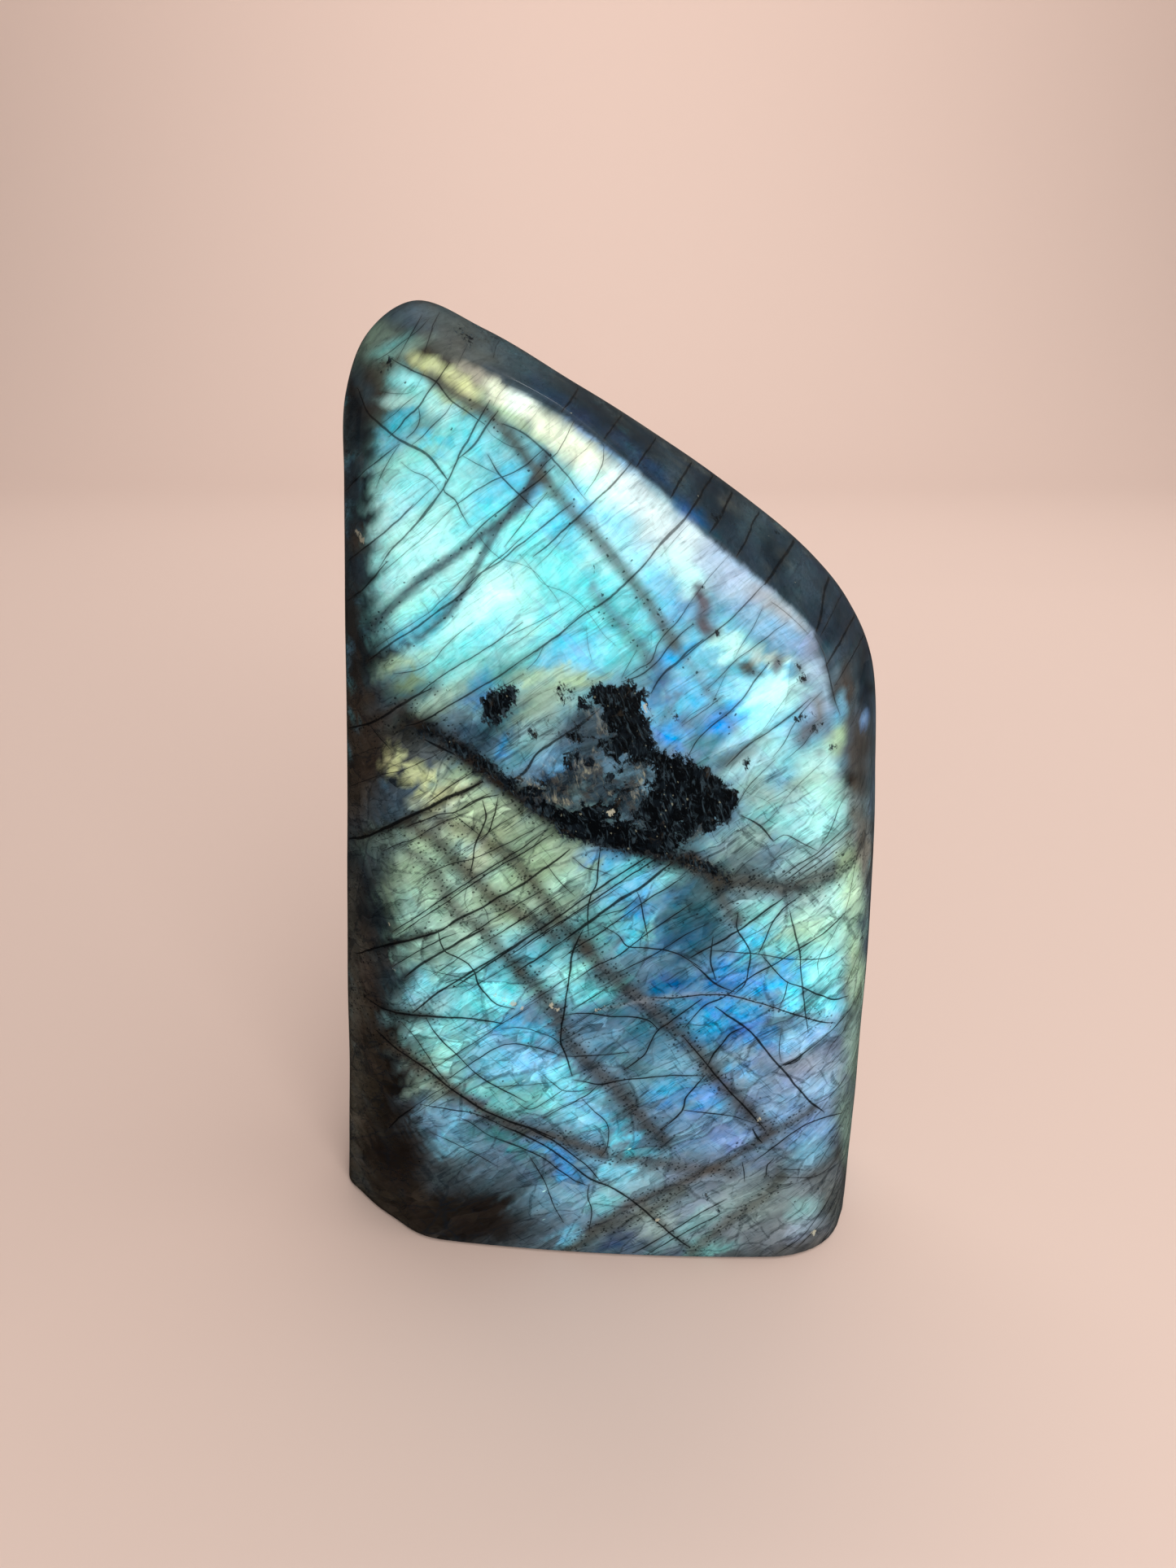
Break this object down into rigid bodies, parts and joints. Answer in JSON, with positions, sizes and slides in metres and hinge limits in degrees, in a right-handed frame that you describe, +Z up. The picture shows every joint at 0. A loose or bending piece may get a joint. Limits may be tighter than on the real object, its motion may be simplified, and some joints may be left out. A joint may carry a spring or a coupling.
{
  "type": "polished labradorite freeform",
  "caption": "Upright freeform of polished labradorite with wide front and back faces, a facet sloping down from its peak to a rounded shoulder, and a flat sawn foot.",
  "frame": {"origin": "on the foot's plane, under the middle of the stone's outline", "axes": "+Z up through the peak, the longest way; +X to the right seen from the front; +Y from the front face to the back face, the shortest way"},
  "size_m": [0.0922, 0.0434, 0.151],
  "materials": {
    "labradorite": "polished, blue and green flash over dark grey"
  },
  "bodies": {
    "root": {"stone": "labradorite"}
  },
  "joints": []
}
